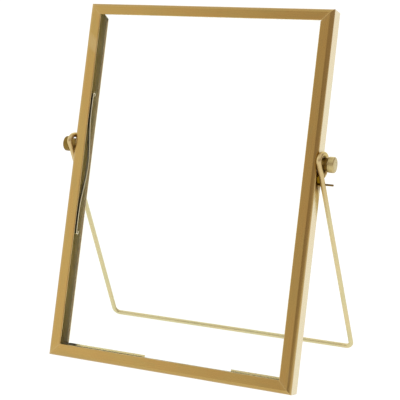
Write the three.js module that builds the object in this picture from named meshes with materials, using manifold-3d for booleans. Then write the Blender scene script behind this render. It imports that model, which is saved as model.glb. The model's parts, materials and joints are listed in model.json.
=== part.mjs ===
// A brass floating-glass picture frame that leans back on a folding wire stand.
//
// Millimetres, +Z up. The frame faces -Y and leans back; the stand swings out behind it, towards +Y.
// The origin is on the surface that the frame stands on, under the middle of the whole object.
//
// Frame coordinates, used by everything that is fixed to the frame:
//   X  across, 0 in the middle
//   Y  depth, 0 at the front of the front lips, growing backwards
//   Z  height along the frame, 0 at the underside of the bottom rail

import * as THREE from "three";
import { mergeVertices } from "three/addons/utils/BufferGeometryUtils.js";
import Module from "manifold-3d";

const wasm = await Module();
wasm.setup();

// ---------------------------------------------------------------- driving dimensions

const PANE_WIDTH = 127; // 5 inches
const PANE_HEIGHT = 177.8; // 7 inches
const PANE_THICKNESS = 1.8;
const PANE_SIDE_ROOM = 1.2; // between a pane's edge and the inside of a side rail
const PANE_BOTTOM_ROOM = 0.6; // the round of the fold keeps a pane this far off the rail's floor
const PANE_TOP_ROOM = 1.6; // lets a pane be lifted as it goes in
const PANE_ARRIS = 0.4; // the edges of the glass are ground off this much

const SHEET = 0.8; // thickness of the brass sheet that the channel is folded from
const LIP = 6.2; // how far a lip reaches in over the glass, from the outer face
const TOP_LIP = 5.75; // the top rail's front lip
const TOP_BACK_LIP = 2.6; // its back lip is cut low, so that a pane can be slid in
const BOTTOM_BACK_LIP = 6.6; // the lip that the panes lean on is the tallest
const NOTCH_LEFT = -15.3; // ends of the shallow notch in the bottom rail's back lip
const NOTCH_RIGHT = 31.5;
const NOTCH_DEPTH = 1.1;
const DEPTH = 10.6; // front lip to back lip, outside
const FRONT_FOLD = 1.9; // outer radius of the folds
const BACK_FOLD = 1.2;
const GAP = 0.3; // between pieces that touch

const LEAN = THREE.MathUtils.degToRad(16.4);

const WIRE_RADIUS = 1.2;
const PIVOT_DEPTH = 5.05;
const PIVOT_HEIGHT = 108.6;
const LEG_OFFSET = 4.84; // the straight of a leg passes this far in front of the pivot's axis
const LEG_ANGLE = THREE.MathUtils.degToRad(41.84); // of an open leg, from the plane of the frame
const EYE_OUT = 1.7; // middle of the wire, out from the side face, at the eye
const FOOT_OUT = 4.78; // and at the foot
const LEFT_EYE_IN = 0.2; // the left leg was bent this much closer to the frame at its eye
const LEFT_FOOT_IN = 0.63; // and this much closer at the foot
const FOOT_BEND = 3.2; // radius of the bends into the foot bar, at the middle of the wire

const SCREW_SHANK = 1.5; // radius
const SCREW_NECK = 3.0; // the wire's eye turns on it
const SCREW_HEAD = 3.85; // wider than the way through the wire's eye, which it holds on
const HEAD_IN = 4.1; // near and far faces of the head, out from the side face
const HEAD_OUT = 7.7;
const HEAD_NEAR_ROUND = 0.8; // radius of the rounded edges
const HEAD_FAR_ROUND = 0.8;
const SHANK_IN = 1.5; // how far the shank reaches in past the side face

const PIN_RADIUS = 0.5;
const PIN_OUT = 6.4;
const PIN_IN = 0.8;
const PIN_HEIGHT = 99.35;
const PIN_ROUND = 0.2;

const SPRING_WIDTH = 1.5;
const SPRING_SHEET = 0.5;
const SPRING_LENGTH = 72.5;
const SPRING_HEIGHT = 99; // of its middle
const SPRING_ACROSS = 60.7; // of its middle line
const SPRING_FLAT = 10; // straight stretch at each end
const SPRING_CURL = 0.9; // radius of the curled tip

// ---------------------------------------------------------------- derived dimensions

const OUTER_WIDTH = PANE_WIDTH + 2 * (PANE_SIDE_ROOM + SHEET);
const OUTER_HEIGHT = PANE_HEIGHT + 2 * SHEET + PANE_BOTTOM_ROOM + PANE_TOP_ROOM;
const SIDE = OUTER_WIDTH / 2;
const FRONT_PANE_DEPTH = SHEET + GAP + PANE_THICKNESS / 2;
const BACK_PANE_DEPTH = FRONT_PANE_DEPTH + PANE_THICKNESS + GAP;
const SPRING_FRONT = BACK_PANE_DEPTH + PANE_THICKNESS / 2 + GAP;
const SPRING_BACK = DEPTH - SHEET - GAP;
const LEG_LENGTH = legLength();

// Along the leg, from abreast of the pivot to the middle of the foot bar: as long as lets the bar rest
// on the same level surface as the back fold of the bottom rail. Heights here are plumb, not along the
// frame, from the level of the frame's front bottom edge.
function legLength() {
  const foldCentre = BACK_FOLD * Math.cos(LEAN) - (DEPTH - BACK_FOLD) * Math.sin(LEAN);
  const surface = foldCentre - BACK_FOLD;
  const pivot = PIVOT_HEIGHT * Math.cos(LEAN) - PIVOT_DEPTH * Math.sin(LEAN);
  const offPlumb = LEG_ANGLE - LEAN;
  const legTop = pivot - LEG_OFFSET * Math.sin(offPlumb);
  return (legTop - WIRE_RADIUS - surface) / Math.cos(offPlumb);
}

// ---------------------------------------------------------------- materials

const finish = (color, roughness, metalness) =>
  new THREE.MeshStandardMaterial({ color, roughness, metalness });

const BRASS_RAIL = finish(0xb5935a, 0.38, 1);
const BRASS_WIRE = finish(0xc9bd8c, 0.25, 1);
const BRASS_TURNED = finish(0xbfa878, 0.3, 1);
const SPRING_METAL = finish(0x9a8866, 0.4, 1);
const CLEAR_GLASS = new THREE.MeshStandardMaterial({
  color: 0xf2f6f0,
  roughness: 0.03,
  metalness: 0,
  transparent: true,
  opacity: 0.2,
});

// ---------------------------------------------------------------- helpers

// A geometry as a closed solid, for cutting.
function toSolid(geometry) {
  const bare = new THREE.BufferGeometry();
  bare.setAttribute("position", geometry.getAttribute("position"));
  if (geometry.index) bare.setIndex(geometry.index);
  const merged = mergeVertices(bare, 1e-4);
  return new wasm.Manifold(
    new wasm.Mesh({
      numProp: 3,
      vertProperties: new Float32Array(merged.getAttribute("position").array),
      triVerts: new Uint32Array(merged.index.array),
    }),
  );
}

function toGeometry(solid) {
  const mesh = solid.getMesh();
  const geometry = new THREE.BufferGeometry();
  geometry.setAttribute("position", new THREE.BufferAttribute(mesh.vertProperties, 3));
  geometry.setIndex(new THREE.BufferAttribute(mesh.triVerts, 1));
  geometry.computeVertexNormals();
  return geometry;
}

function namedMesh(name, geometry, material) {
  const mesh = new THREE.Mesh(geometry, material);
  mesh.name = name;
  return mesh;
}

// A path given by its points, so that a swept section gets one ring at each of them.
class PointPath extends THREE.Curve {
  constructor(points) {
    super();
    this.points = points;
  }

  get steps() {
    return this.points.length - 1;
  }

  getPointAt(t, target = new THREE.Vector3()) {
    return target.copy(this.points[Math.round(t * this.steps)]);
  }

  getTangentAt(t, target = new THREE.Vector3()) {
    const i = Math.round(t * this.steps);
    const before = this.points[Math.max(i - 1, 0)];
    const after = this.points[Math.min(i + 1, this.steps)];
    const here = this.points[i];
    const arriving = here.clone().sub(before).normalize();
    const leaving = after.clone().sub(here).normalize();
    return target.copy(arriving.add(leaving)).normalize();
  }
}

// ---------------------------------------------------------------- rails

// The section of the folded channel. x is depth and y is the distance in from the outer face.
function channelSection(frontLip, backLip) {
  const section = new THREE.Shape();
  const quarter = Math.PI / 2;
  const backCentre = DEPTH - BACK_FOLD;
  section.moveTo(0, frontLip);
  section.absarc(FRONT_FOLD, FRONT_FOLD, FRONT_FOLD, Math.PI, 3 * quarter, false);
  section.absarc(backCentre, BACK_FOLD, BACK_FOLD, 3 * quarter, 4 * quarter, false);
  section.lineTo(DEPTH, backLip);
  section.lineTo(DEPTH - SHEET, backLip);
  section.absarc(backCentre, BACK_FOLD, BACK_FOLD - SHEET, 4 * quarter, 3 * quarter, true);
  section.absarc(FRONT_FOLD, FRONT_FOLD, FRONT_FOLD - SHEET, 3 * quarter, Math.PI, true);
  section.lineTo(SHEET, frontLip);
  section.closePath();
  return section;
}

// A rail lies along X with its outer face at Z = 0. Each end is mitred: a point gives way by its
// distance in from the outer face, and by half of the gap between two rails.
function railGeometry(length, frontLip, backLip) {
  const geometry = new THREE.ExtrudeGeometry(channelSection(frontLip, backLip), {
    depth: 1,
    steps: 1,
    curveSegments: 3,
    bevelEnabled: false,
  });
  const alongX = new THREE.Matrix4().makeBasis(
    new THREE.Vector3(0, 1, 0),
    new THREE.Vector3(0, 0, 1),
    new THREE.Vector3(1, 0, 0),
  );
  geometry.applyMatrix4(alongX);
  const halfGap = GAP / Math.SQRT2;
  const position = geometry.getAttribute("position");
  for (let i = 0; i < position.count; i += 1) {
    const end = position.getX(i) > 0.5 ? 1 : -1;
    position.setX(i, end * (length / 2 - position.getZ(i) - halfGap));
  }
  return geometry;
}

// A round hole in the outer wall of a rail, at a depth and a distance along the rail. `reach` is how far
// in from the outer face the hole is drilled.
function drill(geometry, radius, depth, along, reach) {
  const bit = new THREE.CylinderGeometry(radius, radius, reach + SHEET, 20);
  bit.rotateX(Math.PI / 2);
  bit.translate(along, depth, (reach - SHEET) / 2);
  return toGeometry(toSolid(geometry).subtract(toSolid(bit)));
}

// The side rails are drilled for the thumb screw. `up` is the direction of the rail's own X along the
// frame: +1 where it points up.
function sideRailGeometry(up) {
  const plain = railGeometry(OUTER_HEIGHT, LIP, LIP);
  const along = up * (PIVOT_HEIGHT - OUTER_HEIGHT / 2);
  return drill(plain, SCREW_SHANK + GAP, PIVOT_DEPTH, along, SHANK_IN + GAP);
}

// Only the right one is drilled for a stop pin too.
function rightRailGeometry() {
  const along = PIN_HEIGHT - OUTER_HEIGHT / 2;
  return drill(sideRailGeometry(1), PIN_RADIUS + GAP, pinDepth(), along, PIN_IN + GAP);
}

// The bottom rail's back lip is cut down over a stretch, where a fingertip can push the panes up.
function notched(geometry) {
  const width = NOTCH_RIGHT - NOTCH_LEFT;
  const cutter = new THREE.BoxGeometry(width, 2 * SHEET, 2 * NOTCH_DEPTH);
  cutter.translate((NOTCH_LEFT + NOTCH_RIGHT) / 2, DEPTH - SHEET / 2, BOTTOM_BACK_LIP);
  return toGeometry(toSolid(geometry).subtract(toSolid(cutter)));
}

function makeRails() {
  const rails = new THREE.Group();
  const quarterTurn = Math.PI / 2;

  const lowest = notched(railGeometry(OUTER_WIDTH, LIP, BOTTOM_BACK_LIP));
  const bottom = namedMesh("rail_bottom", lowest, BRASS_RAIL);
  rails.add(bottom);

  const highest = railGeometry(OUTER_WIDTH, TOP_LIP, TOP_BACK_LIP);
  const top = namedMesh("rail_top", highest, BRASS_RAIL);
  top.position.z = OUTER_HEIGHT;
  top.rotation.y = 2 * quarterTurn;
  rails.add(top);

  const left = namedMesh("rail_left", sideRailGeometry(-1), BRASS_RAIL);
  left.position.set(-SIDE, 0, OUTER_HEIGHT / 2);
  left.rotation.y = quarterTurn;
  rails.add(left);

  const right = namedMesh("rail_right", rightRailGeometry(), BRASS_RAIL);
  right.position.set(SIDE, 0, OUTER_HEIGHT / 2);
  right.rotation.y = -quarterTurn;
  rails.add(right);

  return rails;
}

// ---------------------------------------------------------------- glass

function makePane(name, depth) {
  const right = PANE_WIDTH / 2 - PANE_ARRIS;
  const top = PANE_HEIGHT / 2 - PANE_ARRIS;
  const outline = new THREE.Shape([
    new THREE.Vector2(-right, -top),
    new THREE.Vector2(right, -top),
    new THREE.Vector2(right, top),
    new THREE.Vector2(-right, top),
  ]);
  const geometry = new THREE.ExtrudeGeometry(outline, {
    depth: PANE_THICKNESS - 2 * PANE_ARRIS,
    bevelThickness: PANE_ARRIS,
    bevelSize: PANE_ARRIS,
    bevelSegments: 1,
  });
  geometry.center();
  geometry.rotateX(Math.PI / 2);
  const pane = namedMesh(name, geometry, CLEAR_GLASS);
  pane.position.set(0, depth, SHEET + PANE_BOTTOM_ROOM + PANE_HEIGHT / 2);
  return pane;
}

// ---------------------------------------------------------------- leaf springs

// The middle line of a spring from its middle up to its curled tip. x is depth and y is height.
function springHalfLine() {
  const near = SPRING_FRONT + SPRING_SHEET / 2;
  const far = SPRING_BACK - SPRING_SHEET / 2;
  const tipHeight = SPRING_LENGTH / 2 - SPRING_CURL;
  const bowHeight = tipHeight - SPRING_FLAT;
  const bowSteps = 12;
  const points = [];
  for (let i = 0; i <= bowSteps; i += 1) {
    const t = i / bowSteps;
    const bow = (1 + Math.cos(Math.PI * t)) / 2;
    points.push(new THREE.Vector2(near + (far - near) * bow, t * bowHeight));
  }
  const curlSteps = 7;
  const curlTurn = THREE.MathUtils.degToRad(200);
  for (let i = 0; i <= curlSteps; i += 1) {
    const angle = Math.PI - (curlTurn * i) / curlSteps;
    const x = near + SPRING_CURL * (1 + Math.cos(angle));
    points.push(new THREE.Vector2(x, tipHeight + SPRING_CURL * Math.sin(angle)));
  }
  return points;
}

// A strip of even thickness along a line of points.
function stripShape(line, thickness) {
  const offset = (side) =>
    line.map((point, i) => {
      const before = line[Math.max(i - 1, 0)];
      const after = line[Math.min(i + 1, line.length - 1)];
      const along = after.clone().sub(before).normalize();
      const across = new THREE.Vector2(-along.y, along.x);
      return point.clone().addScaledVector(across, (side * thickness) / 2);
    });
  return new THREE.Shape([...offset(1), ...offset(-1).reverse()]);
}

function makeSpring(name, side) {
  const upper = springHalfLine();
  const lower = upper.slice(1).map((point) => new THREE.Vector2(point.x, -point.y));
  const line = [...lower.reverse(), ...upper];
  const geometry = new THREE.ExtrudeGeometry(stripShape(line, SPRING_SHEET), {
    depth: SPRING_WIDTH,
    steps: 1,
    bevelEnabled: false,
  });
  geometry.translate(0, 0, -SPRING_WIDTH / 2);
  // The section's x becomes depth and its y becomes height, so the strip's width lies across.
  const upright = new THREE.Matrix4().makeBasis(
    new THREE.Vector3(0, 1, 0),
    new THREE.Vector3(0, 0, 1),
    new THREE.Vector3(1, 0, 0),
  );
  geometry.applyMatrix4(upright);
  const spring = namedMesh(name, geometry, SPRING_METAL);
  spring.position.set(side * SPRING_ACROSS, 0, SPRING_HEIGHT);
  return spring;
}

// ---------------------------------------------------------------- thumb screws and stop pin

// The quarter round of a turned piece's edge, as points of (radius, distance out from the side face)
// about the centre of the round.
function roundedCorner(radius, out, round, startAngle) {
  const steps = 4;
  return Array.from({ length: steps + 1 }, (_, i) => {
    const angle = startAngle + (Math.PI / 2 / steps) * i;
    return new THREE.Vector2(radius + round * Math.cos(angle), out + round * Math.sin(angle));
  });
}

function makeThumbScrew(name, side) {
  const nearRim = SCREW_HEAD - HEAD_NEAR_ROUND;
  const farRim = SCREW_HEAD - HEAD_FAR_ROUND;
  const profile = [
    new THREE.Vector2(0, -SHANK_IN),
    new THREE.Vector2(SCREW_SHANK, -SHANK_IN),
    new THREE.Vector2(SCREW_SHANK, GAP),
    new THREE.Vector2(SCREW_NECK, GAP),
    new THREE.Vector2(SCREW_NECK, HEAD_IN),
    ...roundedCorner(nearRim, HEAD_IN + HEAD_NEAR_ROUND, HEAD_NEAR_ROUND, -Math.PI / 2),
    ...roundedCorner(farRim, HEAD_OUT - HEAD_FAR_ROUND, HEAD_FAR_ROUND, 0),
    new THREE.Vector2(0, HEAD_OUT),
  ];
  const screw = namedMesh(name, new THREE.LatheGeometry(profile, 24), BRASS_TURNED);
  screw.position.set(side * SIDE, PIVOT_DEPTH, PIVOT_HEIGHT);
  screw.rotation.z = (-side * Math.PI) / 2;
  return screw;
}

// The pin stands just clear of the open leg, on the side that the leg opens towards.
function pinDepth() {
  const clear = LEG_OFFSET - WIRE_RADIUS - PIN_RADIUS - GAP;
  const below = PIVOT_HEIGHT - PIN_HEIGHT;
  return PIVOT_DEPTH + below * Math.tan(LEG_ANGLE) - clear / Math.cos(LEG_ANGLE);
}

function makeStopPin() {
  const rim = PIN_RADIUS - PIN_ROUND;
  const profile = [
    new THREE.Vector2(0, -PIN_IN),
    new THREE.Vector2(PIN_RADIUS, -PIN_IN),
    ...roundedCorner(rim, PIN_OUT - PIN_ROUND, PIN_ROUND, 0),
    new THREE.Vector2(0, PIN_OUT),
  ];
  const pin = namedMesh("stop_pin", new THREE.LatheGeometry(profile, 12), BRASS_TURNED);
  pin.position.set(SIDE, pinDepth(), PIN_HEIGHT);
  pin.rotation.z = -Math.PI / 2;
  return pin;
}

// ---------------------------------------------------------------- wire stand

// The stand is drawn about its pivot. Along the leg is `down`, and square to it, towards the pivot's
// axis from the leg, is `back`. Both lie in the plane of depth and height.
const DOWN = new THREE.Vector3(0, Math.sin(LEG_ANGLE), -Math.cos(LEG_ANGLE));
const BACK = new THREE.Vector3(0, Math.cos(LEG_ANGLE), Math.sin(LEG_ANGLE));

// How far out from the side face the wire runs, at a distance down the leg.
function outAt(down, side) {
  const eye = side < 0 ? EYE_OUT - LEFT_EYE_IN : EYE_OUT;
  const foot = side < 0 ? FOOT_OUT - LEFT_FOOT_IN : FOOT_OUT;
  return eye + (foot - eye) * THREE.MathUtils.clamp(down / LEG_LENGTH, 0, 1);
}

function legPoint(down, side) {
  return new THREE.Vector3(side * (SIDE + outAt(down, side)), 0, 0)
    .addScaledVector(DOWN, down)
    .addScaledVector(BACK, -LEG_OFFSET);
}

// The eye that turns round the thumb screw, from the free end to where the leg runs straight, in
// depth and height from the pivot's axis.
function eyePoints(side) {
  const bends = [
    [0.95, -5.6],
    [2.5, -4.5],
    [4.1, -2.2],
    [4.6, 0.9],
    [3.3, 3.2],
    [1.0, 4.5],
    [-1.8, 4.6],
    [-4.9, 3.8],
    [-6.9, 1.9],
    [-7.1, 0.4],
    [-6.0, -0.9],
  ];
  const across = side * (SIDE + outAt(0, side));
  const places = bends.map(([depth, height]) => new THREE.Vector3(across, depth, height));
  places.push(legPoint(0.5, side));
  places.push(legPoint(3, side));
  return new THREE.CatmullRomCurve3(places, false, "centripetal").getPoints(36);
}

// The bend from a leg into the foot bar, a quarter circle that leaves the leg and arrives along X.
function footBendPoints(side) {
  const foot = legPoint(LEG_LENGTH, side);
  const inwards = new THREE.Vector3(-side, 0, 0);
  const centre = foot.clone().addScaledVector(DOWN, -FOOT_BEND).addScaledVector(inwards, FOOT_BEND);
  const steps = 6;
  return Array.from({ length: steps + 1 }, (_, i) => {
    const angle = ((Math.PI / 2) * i) / steps;
    return centre
      .clone()
      .addScaledVector(inwards, -FOOT_BEND * Math.cos(angle))
      .addScaledVector(DOWN, FOOT_BEND * Math.sin(angle));
  });
}

function legSidePoints(side) {
  const straight = [30, 60, 90].map((down) => legPoint(down, side));
  return [...eyePoints(side), ...straight, ...footBendPoints(side)];
}

function makeWireStand() {
  const path = new PointPath([...legSidePoints(-1), ...legSidePoints(1).reverse()]);
  const section = new THREE.Shape().absarc(0, 0, WIRE_RADIUS, 0, 2 * Math.PI, false);
  const geometry = new THREE.ExtrudeGeometry(section, {
    extrudePath: path,
    steps: path.steps,
    curveSegments: 5,
    bevelEnabled: false,
  });
  const stand = namedMesh("wire_stand", geometry, BRASS_WIRE);
  stand.position.set(0, PIVOT_DEPTH, PIVOT_HEIGHT);
  return stand;
}

// ---------------------------------------------------------------- the whole object

const floatingFrame = new THREE.Group();
const frame = new THREE.Group();
frame.rotation.x = -LEAN;
floatingFrame.add(frame);

frame.add(makeRails());
frame.add(makePane("glass_front", FRONT_PANE_DEPTH));
frame.add(makePane("glass_back", BACK_PANE_DEPTH));
for (const [hand, side] of [
  ["left", -1],
  ["right", 1],
]) {
  frame.add(makeSpring("spring_" + hand, side));
  frame.add(makeThumbScrew("thumb_screw_" + hand, side));
}
frame.add(makeStopPin());
frame.add(makeWireStand());

// Stand it on the surface, with the middle of its whole outline over the origin.
const outline = new THREE.Box3().setFromObject(floatingFrame, true);
const middle = outline.getCenter(new THREE.Vector3());
frame.position.set(-middle.x, -middle.y, -outline.min.z);

export default floatingFrame;
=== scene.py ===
# %% [markdown]
# # A brass floating frame on a folding wire stand
#
# This lesson dresses a small table frame: four lengths of folded brass channel round two clear
# panes, with a bent wire stand that swings on two thumb screws. The engineered model comes first
# and is never moved. Everything below is built around it, in metres, in the same place.

# %% Load the engineered model
import json
import math

import bmesh
import bpy
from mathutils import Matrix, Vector, geometry, noise


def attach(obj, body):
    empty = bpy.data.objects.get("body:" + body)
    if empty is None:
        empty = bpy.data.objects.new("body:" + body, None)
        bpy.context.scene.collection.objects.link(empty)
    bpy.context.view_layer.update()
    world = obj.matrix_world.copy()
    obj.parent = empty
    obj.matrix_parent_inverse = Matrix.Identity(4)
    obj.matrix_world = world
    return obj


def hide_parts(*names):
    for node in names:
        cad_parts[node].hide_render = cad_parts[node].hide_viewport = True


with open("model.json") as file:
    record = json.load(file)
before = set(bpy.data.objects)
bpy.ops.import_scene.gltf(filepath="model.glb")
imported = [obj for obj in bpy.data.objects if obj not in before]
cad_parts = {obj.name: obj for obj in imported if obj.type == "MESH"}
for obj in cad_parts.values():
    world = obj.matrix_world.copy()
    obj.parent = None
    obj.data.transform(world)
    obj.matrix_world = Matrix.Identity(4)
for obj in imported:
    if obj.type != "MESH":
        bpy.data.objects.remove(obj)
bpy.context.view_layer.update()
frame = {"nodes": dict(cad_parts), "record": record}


# %% [markdown]
# ## The frame's own axes
#
# The frame leans back, so it is awkward to build in plumb axes. Two of its flat faces tell which
# way it leans: the underside of the bottom rail and the back of its back lip. From those come three
# handy directions, across, back and up the frame, and a helper that turns a place on the frame,
# in millimetres, into a place in the scene.

# %% Read the lean from the record
MM = 0.001
face_normal = {m["name"]: Vector(m["axis"]).normalized() for m in frame["record"]["mounts"]}
ACROSS = Vector((1.0, 0.0, 0.0))
UP = -face_normal["bottom_edge"]
BACK = face_normal["back_lip"]


def span(node, direction):
    """How far a piece reaches along a direction, lowest and highest, in millimetres."""
    reach = [v.co.dot(direction) / MM for v in frame["nodes"][node].data.vertices]
    return min(reach), max(reach)


front_plane = span("rail_bottom", BACK)[0]
foot_plane = span("rail_bottom", UP)[0]


def on_frame(x, back, up):
    """A place on the frame: across from its middle, back from its front, up from its foot."""
    return (ACROSS * x + BACK * (front_plane + back) + UP * (foot_plane + up)) * MM


def off_frame(place):
    """The other way: a place in the scene as (across, back, up) on the frame, in millimetres."""
    place = Vector(place) / MM
    return place.dot(ACROSS), place.dot(BACK) - front_plane, place.dot(UP) - foot_plane


frame_width = span("rail_right", ACROSS)[1] - span("rail_left", ACROSS)[0]
frame_height = span("rail_top", UP)[1] - foot_plane
frame_depth = span("rail_left", BACK)[1] - front_plane
side_face = frame_width / 2
lean = math.degrees(math.atan2(UP.y, UP.z))
measures = " x ".join(f"{size:.1f}" for size in (frame_width, frame_height, frame_depth))
print(f"frame {measures} mm, leaning {lean:.1f} degrees")

# %% [markdown]
# ## Small tools for making shapes
#
# Nearly every piece here is a section carried along a line: the channel along a rail, a circle
# along the wire, a strip along the spring. A curve object with a bevel could do the wire, but it
# keeps no record of how far along the metal a point lies, and the grain of drawn or rolled brass
# needs exactly that. So one loft helper makes rings and stitches them, and each point of the mesh
# stores its grain for the materials to use: how far along and around the piece it lies, in
# millimetres, and a layer number that gives each piece marks of its own.

# %% Make an object that rides on a body
GRAIN = "metal_grain"
CREASE = math.radians(38)


def make_mesh(name, points, faces):
    """A mesh of the points and faces, with every face turned outwards."""
    mesh = bpy.data.meshes.new(name)
    mesh.from_pydata([tuple(p) for p in points], [], faces)
    turned = bmesh.new()
    turned.from_mesh(mesh)
    bmesh.ops.recalc_face_normals(turned, faces=turned.faces)
    turned.to_mesh(mesh)
    turned.free()
    return mesh


def comb(mesh, grain):
    """Store each point's grain, as (along, around, layer), and smooth all but the creases."""
    attribute = mesh.attributes.get(GRAIN) or mesh.attributes.new(GRAIN, "FLOAT_VECTOR", "POINT")
    attribute.data.foreach_set("vector", [value for triple in grain for value in triple])
    mesh.polygons.foreach_set("use_smooth", [True] * len(mesh.polygons))
    mesh.set_sharp_from_angle(angle=CREASE)


def make_piece(name, points, faces, grain, material, body):
    mesh = make_mesh(name, points, faces)
    comb(mesh, grain)
    mesh.materials.append(material)
    piece = bpy.data.objects.new(name, mesh)
    bpy.context.scene.collection.objects.link(piece)
    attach(piece, body)
    return piece


# %% Stitch rings, and draw arcs


def loft(rings):
    """Points and faces of closed rings stitched one to the next, with a cap at each end."""
    count = len(rings[0])
    points = [p for ring in rings for p in ring]
    faces = []
    for r in range(len(rings) - 1):
        low, high = r * count, (r + 1) * count
        for i in range(count):
            j = (i + 1) % count
            faces.append((low + i, low + j, high + j, high + i))
    faces.append(tuple(reversed(range(count))))
    faces.append(tuple((len(rings) - 1) * count + i for i in range(count)))
    return points, faces


def arc(centre, radius, start, end, steps):
    """Points of an arc in a flat section, from one angle in degrees to another, ends included."""
    angles = [math.radians(start + (end - start) * i / steps) for i in range(steps + 1)]
    return [(centre[0] + radius * math.cos(a), centre[1] + radius * math.sin(a)) for a in angles]


def distances(line):
    """How far along a line of points each one lies."""
    total = [0.0]
    for before, after in zip(line, line[1:]):
        total.append(total[-1] + (Vector(after) - Vector(before)).length)
    return total


# %% [markdown]
# ## Brass, by the way it was worked
#
# Brass is one metal, but rolled sheet, drawn wire and turned bar look different because of the
# marks that the work left. All the brasses below are the same idea: a metal surface whose colour
# drifts a little between warm and olive, as handled brass does, with fine lines that follow the
# working direction. A noise texture squeezed across the grain and stretched along it makes the
# rolling and drawing marks. The thin lacquer over the outside of the sheet is the shader's own
# coat. Inside the channel the brass has no lacquer and is rougher, and it is painted paler, as
# painted light for the shaded inside. The small fittings run to olive, and the screw necks, the
# left screw and the pin are painted dark brown, as painted shade.
#
# Three more marks are painted light and shade. The folds are darkened with painted shade, for the
# dim room that they reflect. The side walls are painted paler than the front, a painted sheen for
# the bright floor that they reflect edge-on. Brown painted shade lies round some places along the
# metal, as a painted shadow on the right side wall about the screw and the pin. Folds and painted
# shade are both placed by the grain, so they stay on the metal. Where shade is painted, the lacquer
# is taken off and the glancing reflection is tinted brown, because a metal's would otherwise stay
# bright.

# %% Node helpers
NOISE_LOW, NOISE_HIGH = 0.3, 0.7  # most of a noise texture's values lie between these


def new_material(name):
    material = bpy.data.materials.new(name)
    material.use_nodes = True
    return material, material.node_tree, material.node_tree.nodes["Principled BSDF"]


def grain_noise(tree, along, around, detail=3.0, seed=0.0):
    """Noise in the piece's own grain space, with its marks so many millimetres long and wide."""
    source = tree.nodes.new("ShaderNodeAttribute")
    source.attribute_name = GRAIN
    mapping = tree.nodes.new("ShaderNodeMapping")
    mapping.inputs["Scale"].default_value = (1 / along, 1 / around, 1.0)
    mapping.inputs["Location"].default_value = (seed, seed, seed)
    texture = tree.nodes.new("ShaderNodeTexNoise")
    texture.inputs["Scale"].default_value = 1.0
    texture.inputs["Detail"].default_value = detail
    texture.inputs["Roughness"].default_value = 0.6
    tree.links.new(source.outputs["Vector"], mapping.inputs["Vector"])
    tree.links.new(mapping.outputs["Vector"], texture.inputs["Vector"])
    return texture.outputs["Fac"]


def remap(tree, value, start, end, low, high):
    """Turn a value that runs from start to end into one that runs from low to high."""
    node = tree.nodes.new("ShaderNodeMapRange")
    node.clamp = True
    names = ("From Min", "From Max", "To Min", "To Max")
    for name, number in zip(names, (start, end, low, high)):
        node.inputs[name].default_value = number
    tree.links.new(value, node.inputs["Value"])
    return node.outputs["Result"]


def blend_colours(tree, factor, first, second):
    """A mix of two colours. Each may be a plain colour or the output of another mix."""
    node = tree.nodes.new("ShaderNodeMix")
    node.data_type = "RGBA"
    tree.links.new(factor, node.inputs["Factor"])
    for socket, colour in ((node.inputs[6], first), (node.inputs[7], second)):
        if isinstance(colour, tuple):
            socket.default_value = (*colour, 1.0)
        else:
            tree.links.new(colour, socket)
    return node.outputs[2]


# %% Find what lies near a place on the metal


def near_places(tree, axis, places, full, gone, strength):
    """`strength` near any of some places along an axis of the grain, fading out further away."""
    source = tree.nodes.new("ShaderNodeAttribute")
    source.attribute_name = GRAIN
    parts = tree.nodes.new("ShaderNodeSeparateXYZ")
    tree.links.new(source.outputs["Vector"], parts.inputs["Vector"])
    nearness = None
    for place in places:
        gap = tree.nodes.new("ShaderNodeMath")
        gap.operation = "SUBTRACT"
        gap.inputs[1].default_value = place
        tree.links.new(parts.outputs[axis], gap.inputs[0])
        distance = tree.nodes.new("ShaderNodeMath")
        distance.operation = "ABSOLUTE"
        tree.links.new(gap.outputs[0], distance.inputs[0])
        near = remap(tree, distance.outputs[0], full, gone, strength, 0.0)
        if nearness is not None:
            larger = tree.nodes.new("ShaderNodeMath")
            larger.operation = "MAXIMUM"
            tree.links.new(nearness, larger.inputs[0])
            tree.links.new(near, larger.inputs[1])
            near = larger.outputs[0]
        nearness = near
    return nearness


# %% Paint brown shade onto the metal
PAINTED_SHADE_STRENGTH = 0.9
EDGE_TINT_GAIN = 3.0
NO_TINT = (1.0, 1.0, 1.0)


def paint_shade(tree, shader, colour, edge_tint, lacquer, places, full, gone, shade_colour):
    """Paint brown shade round some places. Returns the new colour and the new edge tint."""
    painted_shade_mask = near_places(tree, "X", places, full, gone, PAINTED_SHADE_STRENGTH)
    # The glancing reflection is tinted brown too, so that the painted shade darkens it as well.
    shade_edge_tint = tuple(min(1.0, EDGE_TINT_GAIN * channel) for channel in shade_colour)
    edge_tint = blend_colours(tree, painted_shade_mask, edge_tint, shade_edge_tint)
    tree.links.new(edge_tint, shader.inputs["Specular Tint"])
    if lacquer:
        coat = remap(tree, painted_shade_mask, 0.0, PAINTED_SHADE_STRENGTH, lacquer, 0.0)
        tree.links.new(coat, shader.inputs["Coat Weight"])
    return blend_colours(tree, painted_shade_mask, colour, shade_colour), edge_tint


# %% Draw the working lines
LINE_STRENGTH = 0.5


def draw_lines(tree, shader, lines, line_depth, rough):
    """Working lines, so many millimetres long and wide, in the polish and in the surface."""
    marks = grain_noise(tree, *lines, 4.0, seed=7.0)
    polish = remap(tree, marks, NOISE_LOW, NOISE_HIGH, *rough)
    tree.links.new(polish, shader.inputs["Roughness"])
    bump = tree.nodes.new("ShaderNodeBump")
    bump.inputs["Strength"].default_value = LINE_STRENGTH
    bump.inputs["Distance"].default_value = line_depth * MM
    tree.links.new(marks, bump.inputs["Height"])
    tree.links.new(bump.outputs["Normal"], shader.inputs["Normal"])


# %% The worked-brass material
# For each change of colour: where it sets in, where it is full, and how weak and strong it is.
DRIFT = (0.4, 0.62, 0.0, 1.0)
TARNISH = (0.5, 0.76, 0.0, 0.75)
EDGE_WEAR = (0.51, 0.6, 0.0, 0.5)
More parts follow.
